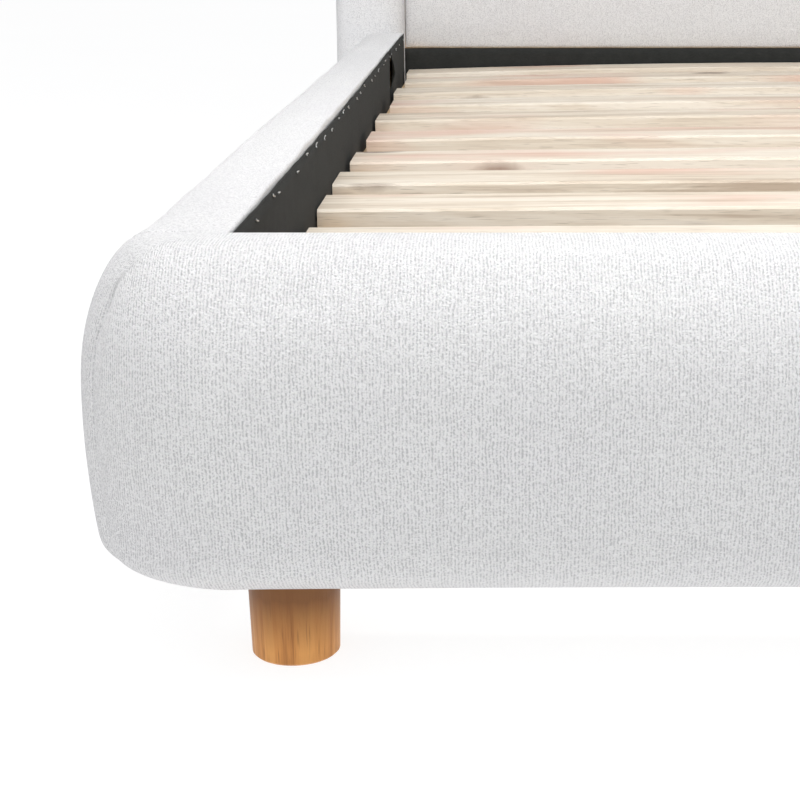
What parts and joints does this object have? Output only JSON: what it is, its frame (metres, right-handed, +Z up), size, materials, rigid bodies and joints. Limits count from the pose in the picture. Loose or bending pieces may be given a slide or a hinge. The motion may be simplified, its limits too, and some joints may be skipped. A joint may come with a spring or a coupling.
{
  "type": "upholstered headboard bed",
  "caption": "Low padded bed frame in white boucle with rounded foot corners, crowned wooden slats, short round wooden legs and a headboard with a thick padded border round a recessed centre.",
  "frame": {"origin": "on the floor under the middle of the bed's overall length and width", "axes": "+X across the bed to its right as seen from the foot, +Y along the bed from the foot to the headboard, +Z up"},
  "size_m": [1.784, 2.237, 1.08],
  "materials": {
    "cover_fabric": "white boucle upholstery with a fine pebbled, faintly ribbed surface",
    "lining_felt": "charcoal needled felt lining",
    "frame_timber": "planed pine, unfinished",
    "board_plywood": "plywood, unfinished",
    "slat_wood": "pale laminated poplar with knots and pinkish streaks, unfinished",
    "leg_wood": "orange-brown stained wood, satin, upright grain",
    "steel_black": "black powder coat",
    "screw_zinc": "bright zinc plating",
    "foot_plastic": "black moulded plastic on a steel screw"
  },
  "bodies": {
    "bed": {"foot_rail_cover": "cover_fabric", "left_rail_front_cover": "cover_fabric", "left_rail_rear_cover": "cover_fabric", "right_rail_front_cover": "cover_fabric", "right_rail_rear_cover": "cover_fabric", "headboard_left_border": "cover_fabric", "headboard_right_border": "cover_fabric", "headboard_top_border": "cover_fabric", "headboard_centre_pad": "cover_fabric", "foot_rail_liner": "lining_felt", "left_rail_front_liner": "lining_felt", "left_rail_rear_liner": "lining_felt", "right_rail_front_liner": "lining_felt", "right_rail_rear_liner": "lining_felt", "head_rail_liner": "lining_felt", "headboard_back_cloth": "lining_felt", "foot_rail_frame": "frame_timber", "left_rail_front_frame": "frame_timber", "left_rail_rear_frame": "frame_timber", "right_rail_front_frame": "frame_timber", "right_rail_rear_frame": "frame_timber", "left_rail_front_ledge": "frame_timber", "left_rail_rear_ledge": "frame_timber", "right_rail_front_ledge": "frame_timber", "right_rail_rear_ledge": "frame_timber", "headboard_frame": "frame_timber", "head_cross_rail": "frame_timber", "centre_beam": "frame_timber", "centre_post_1": "frame_timber", "centre_post_2": "frame_timber", "centre_post_3": "frame_timber", "headboard_board": "board_plywood", "slat_01": "slat_wood", "slat_02": "slat_wood", "slat_03": "slat_wood", "slat_04": "slat_wood", "slat_05": "slat_wood", "slat_06": "slat_wood", "slat_07": "slat_wood", "slat_08": "slat_wood", "slat_09": "slat_wood", "slat_10": "slat_wood", "slat_11": "slat_wood", "leg_foot_left": "leg_wood", "leg_foot_right": "leg_wood", "leg_head_left": "leg_wood", "leg_head_right": "leg_wood", "corner_brackets": "steel_black", "splice_plates": "steel_black", "beam_hangers": "steel_black", "corner_screws": "screw_zinc", "splice_screws": "screw_zinc", "beam_screws": "screw_zinc", "leg_hanger_bolts": "screw_zinc"},
    "adjusting_foot_1": {"centre_foot_1": "foot_plastic"},
    "adjusting_foot_2": {"centre_foot_2": "foot_plastic"},
    "adjusting_foot_3": {"centre_foot_3": "foot_plastic"}
  },
  "joints": [
    {"name": "foot_1_height", "type": "slide", "parent": "bed", "child": "adjusting_foot_1", "axis": [0, 0, 1], "range_m": [-0.01, 0.012]},
    {"name": "foot_2_height", "type": "slide", "parent": "bed", "child": "adjusting_foot_2", "axis": [0, 0, 1], "range_m": [-0.01, 0.012]},
    {"name": "foot_3_height", "type": "slide", "parent": "bed", "child": "adjusting_foot_3", "axis": [0, 0, 1], "range_m": [-0.01, 0.012]}
  ]
}
